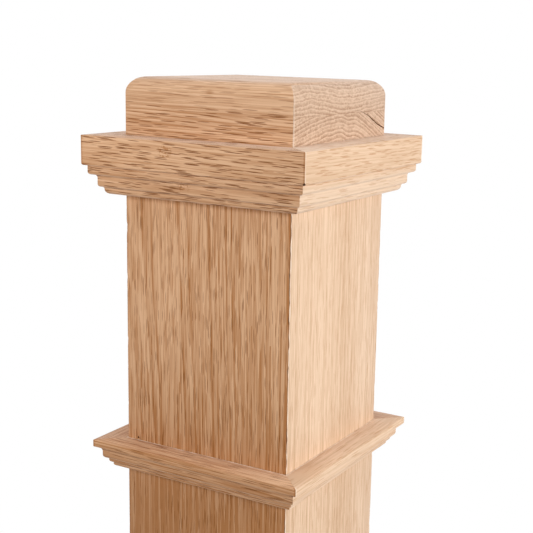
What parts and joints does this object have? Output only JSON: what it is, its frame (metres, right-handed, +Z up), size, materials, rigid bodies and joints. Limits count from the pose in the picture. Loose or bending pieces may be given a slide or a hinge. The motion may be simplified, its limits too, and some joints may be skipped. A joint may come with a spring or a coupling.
{
  "type": "newel post",
  "caption": "Square hollow box newel post in bare oak: mitred boards, a rounded solid cap block, a stepped cornice moulding under it and a slimmer neck moulding below the rail face.",
  "frame": {"origin": "on the floor, at the post's axis, under the centre of its four boards", "axes": "+Z up along the post, +X out of the right board, -Y out of the front board"},
  "size_m": [0.2098, 0.2098, 1.219],
  "materials": {
    "shaft_oak": "bare sanded oak, straight grain along the post",
    "cap_oak": "bare sanded oak, grain across the post, end grain on two sides",
    "cornice_oak": "bare sanded oak, grain along the moulding",
    "neck_oak": "bare sanded oak, grain along the moulding"
  },
  "bodies": {
    "root": {"board_front": "shaft_oak", "board_right": "shaft_oak", "board_back": "shaft_oak", "board_left": "shaft_oak", "cap_block": "cap_oak", "cornice_front": "cornice_oak", "cornice_right": "cornice_oak", "cornice_back": "cornice_oak", "cornice_left": "cornice_oak", "neck_front": "neck_oak", "neck_right": "neck_oak", "neck_back": "neck_oak", "neck_left": "neck_oak"}
  },
  "joints": []
}
